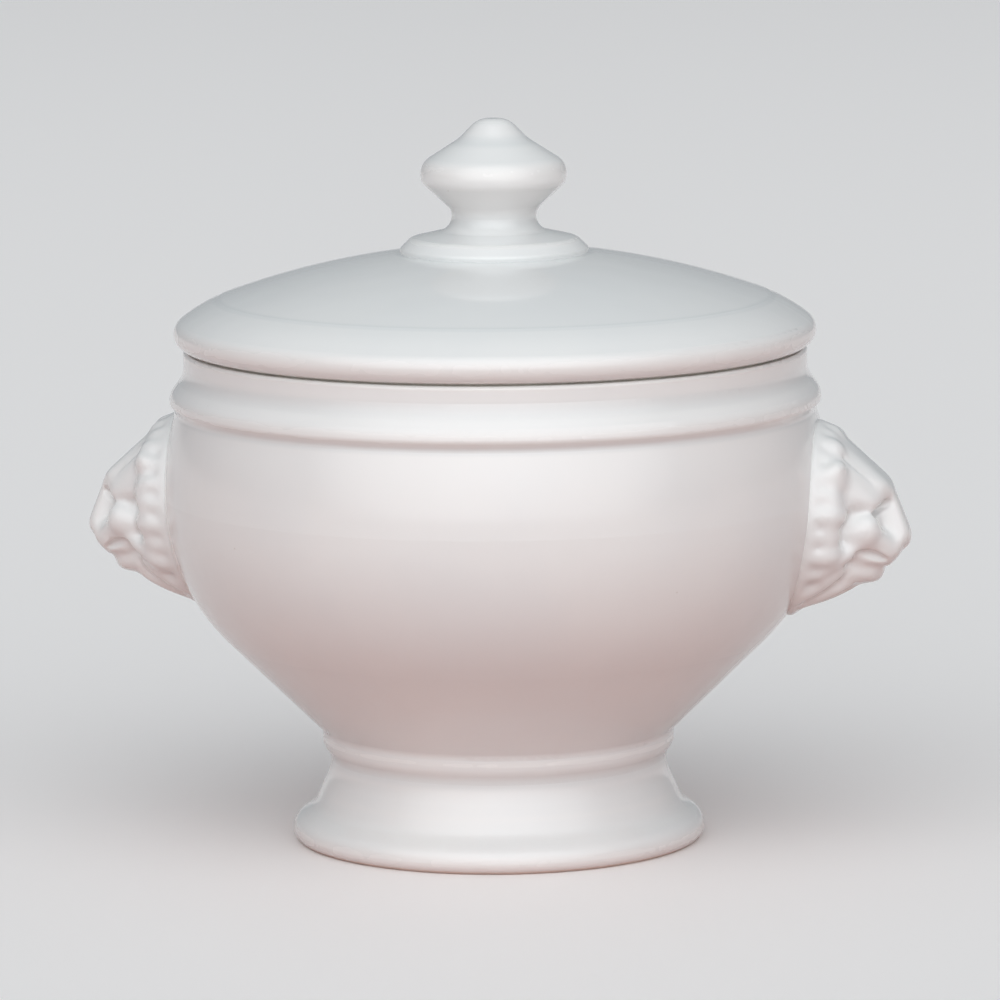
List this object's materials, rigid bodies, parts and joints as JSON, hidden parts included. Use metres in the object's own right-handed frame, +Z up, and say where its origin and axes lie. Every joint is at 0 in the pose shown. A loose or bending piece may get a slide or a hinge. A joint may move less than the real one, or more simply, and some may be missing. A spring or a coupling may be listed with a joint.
{
  "type": "lidded soup crock",
  "caption": "White porcelain soup crock on a flared foot, with a lion's head handle on each side and a domed lid that lifts off by a turned knob.",
  "frame": {"origin": "centre of the foot's underside, on the surface that it stands on", "axes": "+Z up through the bowl, foot and knob; +X out through the nose of the right lion's head; -Y is the front"},
  "size_m": [0.164, 0.1308, 0.1424],
  "materials": {
    "white_porcelain": "clear gloss glaze over a white body, bare on the ring that it stands on"
  },
  "bodies": {
    "crock": {"bowl": "white_porcelain", "foot": "white_porcelain", "left_lion_head": "white_porcelain", "right_lion_head": "white_porcelain"},
    "lid": {"lid": "white_porcelain", "lid_knob": "white_porcelain"}
  },
  "joints": [
    {"name": "lid_lift", "type": "slide", "parent": "crock", "child": "lid", "axis": [0, 0, 1], "range_m": [0, 0.12]}
  ]
}
